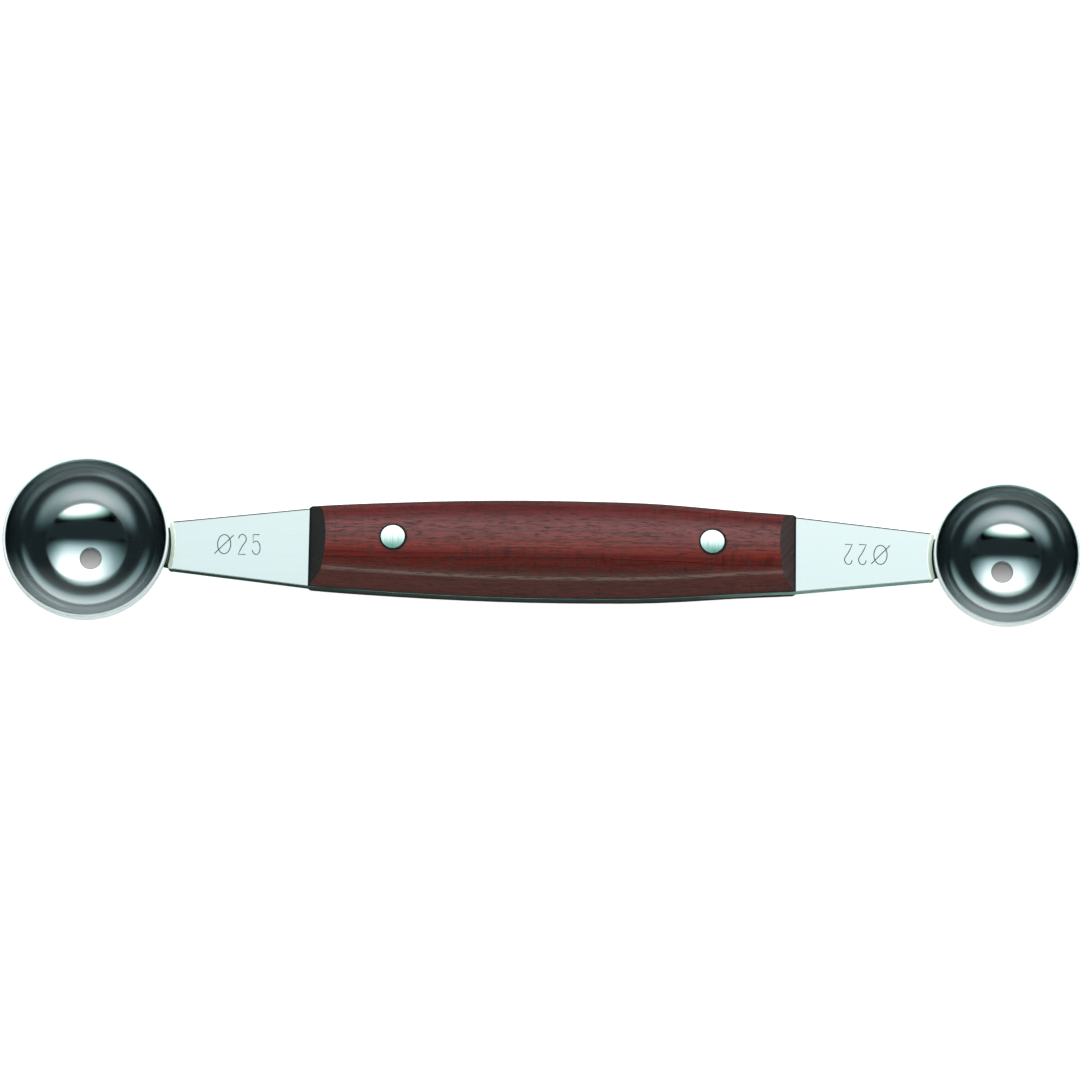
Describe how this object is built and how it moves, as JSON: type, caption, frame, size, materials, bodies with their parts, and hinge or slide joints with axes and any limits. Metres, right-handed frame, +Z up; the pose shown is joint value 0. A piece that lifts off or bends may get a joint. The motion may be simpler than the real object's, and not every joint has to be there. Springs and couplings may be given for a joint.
{
  "type": "melon baller",
  "caption": "Double-ended melon baller: round steel bowls welded to the ends of one flat tang, with wooden handle scales riveted on.",
  "frame": {"origin": "under the middle of the tool's length, on the plane that both bowls rest on", "axes": "+X along the tool from the 25 mm bowl to the 22 mm bowl, +Y across it, +Z up out of the open bowls"},
  "size_m": [0.1686, 0.026, 0.0161],
  "materials": {
    "bowl_steel": "mirror polished",
    "tang_steel": "fine polished faces, ground edges",
    "rivet_steel": "ground flush, fine brush marks",
    "weld_steel": "ground weld",
    "handle_wood": "oiled, smooth sanded"
  },
  "bodies": {
    "root": {"bowl_25": "bowl_steel", "bowl_22": "bowl_steel", "tang": "tang_steel", "front_scale": "handle_wood", "back_scale": "handle_wood", "rivet_25_end": "rivet_steel", "rivet_22_end": "rivet_steel", "weld_25": "weld_steel", "weld_22": "weld_steel"}
  },
  "joints": []
}
